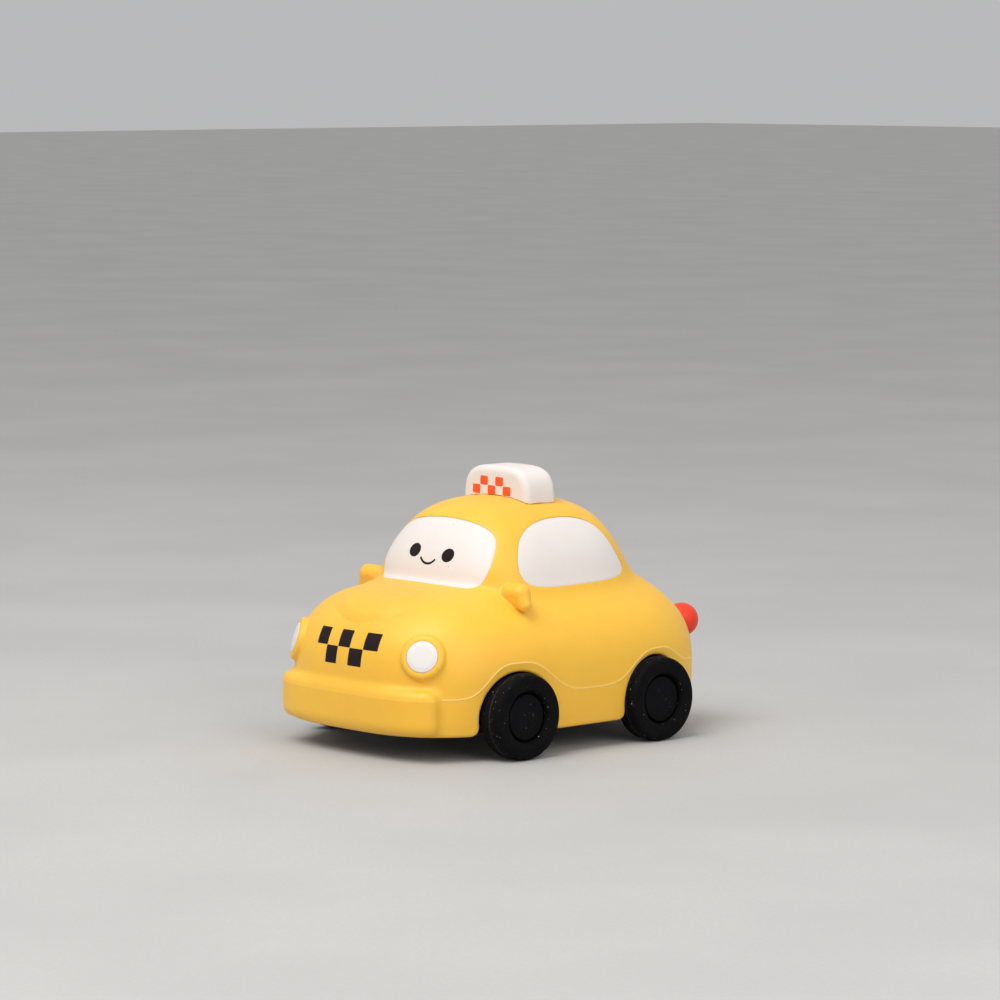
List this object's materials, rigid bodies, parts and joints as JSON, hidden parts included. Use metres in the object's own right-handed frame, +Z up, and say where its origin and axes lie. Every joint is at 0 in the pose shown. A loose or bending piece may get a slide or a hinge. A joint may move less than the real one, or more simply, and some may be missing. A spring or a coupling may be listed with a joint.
{
  "type": "pull back toy car",
  "caption": "Rounded soft-bodied toy saloon with white windows and a roof sign, round lamps, fat black wheels and a geared spring motor on its rear axle",
  "frame": {"origin": "on the ground plane, in the middle of the overall length and width", "axes": "+Z up, front of the car towards -Y, the car's left side towards +X; the axles lie along X"},
  "size_m": [0.0604, 0.081, 0.0543],
  "materials": {
    "body_vinyl": "soft matt moulding, very slight sheen",
    "white_vinyl": "matt, off-white",
    "lamp_white": "satin white",
    "lamp_red": "satin red",
    "black_plastic": "fine spark-eroded moulding texture",
    "hub_plastic": "satin black",
    "tyre_rubber": "matt rubber",
    "axle_steel": "bright drawn steel",
    "screw_steel": "zinc-plated steel",
    "gear_nylon": "natural nylon",
    "spring_steel": "blued spring steel",
    "cup_steel": "pressed sheet steel"
  },
  "bodies": {
    "body": {"body_shell": "body_vinyl", "windscreen": "white_vinyl", "rear_window": "white_vinyl", "side_window_left": "white_vinyl", "side_window_right": "white_vinyl", "roof_sign": "white_vinyl", "headlight_left": "lamp_white", "headlight_right": "lamp_white", "tail_light_left": "lamp_red", "tail_light_right": "lamp_red", "chassis_plate": "black_plastic", "body_frame": "black_plastic", "front_axle_retainer": "black_plastic", "motor_case_left": "black_plastic", "motor_case_right": "black_plastic", "idler_pin": "axle_steel", "chassis_screw_1": "screw_steel", "chassis_screw_2": "screw_steel", "chassis_screw_3": "screw_steel", "chassis_screw_4": "screw_steel", "mount_screw_1": "screw_steel", "mount_screw_2": "screw_steel", "mount_screw_3": "screw_steel", "mount_screw_4": "screw_steel", "retainer_screw_1": "screw_steel", "retainer_screw_2": "screw_steel", "case_screw_1": "screw_steel", "case_screw_2": "screw_steel", "spring_cup": "cup_steel"},
    "front_wheelset": {"front_axle": "axle_steel", "wheel_hub_fl": "hub_plastic", "wheel_hub_fr": "hub_plastic", "tyre_fl": "tyre_rubber", "tyre_fr": "tyre_rubber"},
    "rear_wheelset": {"rear_axle": "axle_steel", "axle_pinion": "gear_nylon", "wheel_hub_rl": "hub_plastic", "wheel_hub_rr": "hub_plastic", "tyre_rl": "tyre_rubber", "tyre_rr": "tyre_rubber"},
    "idler": {"idler_gear": "gear_nylon"},
    "spring_drum": {"spring_gear": "gear_nylon", "mainspring": "spring_steel"}
  },
  "joints": [
    {"name": "front_axle_spin", "type": "hinge", "parent": "body", "child": "front_wheelset", "pos_m": [0, -0.01822, 0.0084], "axis": [1, 0, 0], "continuous": true},
    {"name": "rear_axle_spin", "type": "hinge", "parent": "body", "child": "rear_wheelset", "pos_m": [0, 0.01798, 0.0084], "axis": [1, 0, 0], "continuous": true},
    {"name": "idler_spin", "type": "hinge", "parent": "body", "child": "idler", "pos_m": [0, 0.0106, 0.01356], "axis": [1, 0, 0], "continuous": true},
    {"name": "spring_spin", "type": "hinge", "parent": "body", "child": "spring_drum", "pos_m": [0, 0.00082, 0.01564], "axis": [1, 0, 0], "continuous": true}
  ],
  "couplings": [
    {"joint": "idler_spin", "follows": "rear_axle_spin", "ratio": -0.38462},
    {"joint": "spring_spin", "follows": "rear_axle_spin", "ratio": 0.12821}
  ]
}
